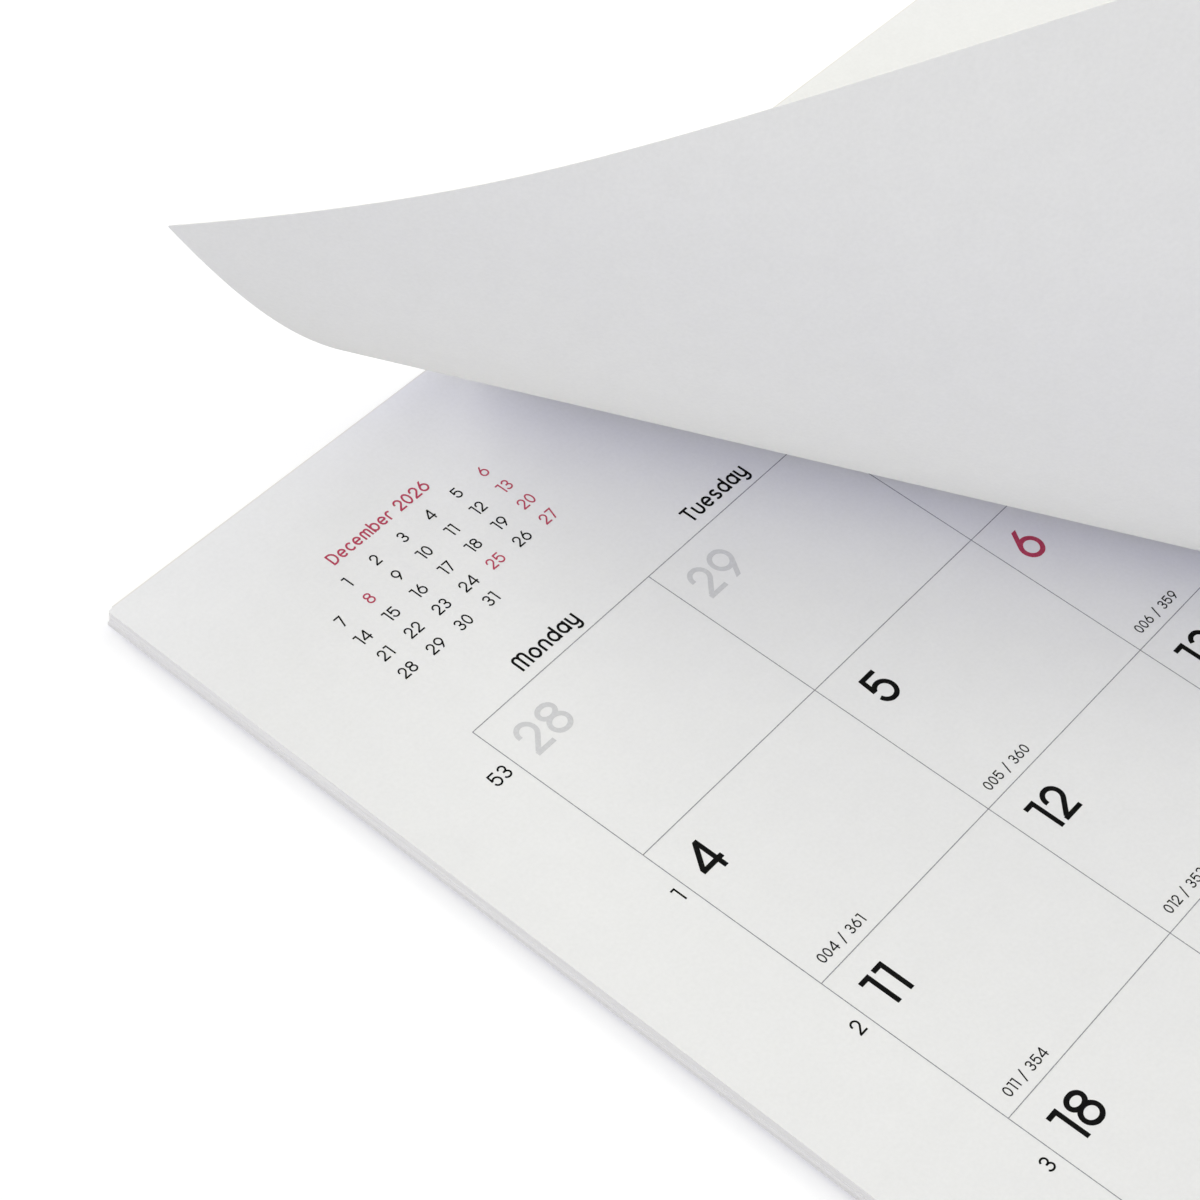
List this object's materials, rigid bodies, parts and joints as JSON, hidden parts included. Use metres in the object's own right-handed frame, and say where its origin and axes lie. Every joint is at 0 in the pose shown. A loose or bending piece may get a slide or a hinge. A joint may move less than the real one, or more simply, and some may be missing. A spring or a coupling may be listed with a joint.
{
  "type": "magnetic calendar pad",
  "caption": "Landscape calendar pad of bound paper sheets on a card back with magnet strips behind, the left of its top leaf lifted and curled over.",
  "frame": {"origin": "middle of the upper magnet strip's face, the side that sticks to steel", "axes": "+X along the lines of print, +Y towards the bound top edge, +Z out of the printed pages"},
  "size_m": [0.42, 0.313, 0.2124],
  "materials": {
    "page_paper": "matte",
    "leaf_paper": "matte",
    "white_board": "matte",
    "padding_glue": "satin",
    "magnet_rubber": "matte",
    "tape_film": "satin"
  },
  "bodies": {
    "root": {"page_block": "page_paper", "lifted_sheet": "leaf_paper", "back_board": "white_board", "glue_edge": "padding_glue", "magnet_strip_top": "magnet_rubber", "magnet_strip_bottom": "magnet_rubber", "adhesive_tape_top": "tape_film", "adhesive_tape_bottom": "tape_film"}
  },
  "joints": []
}
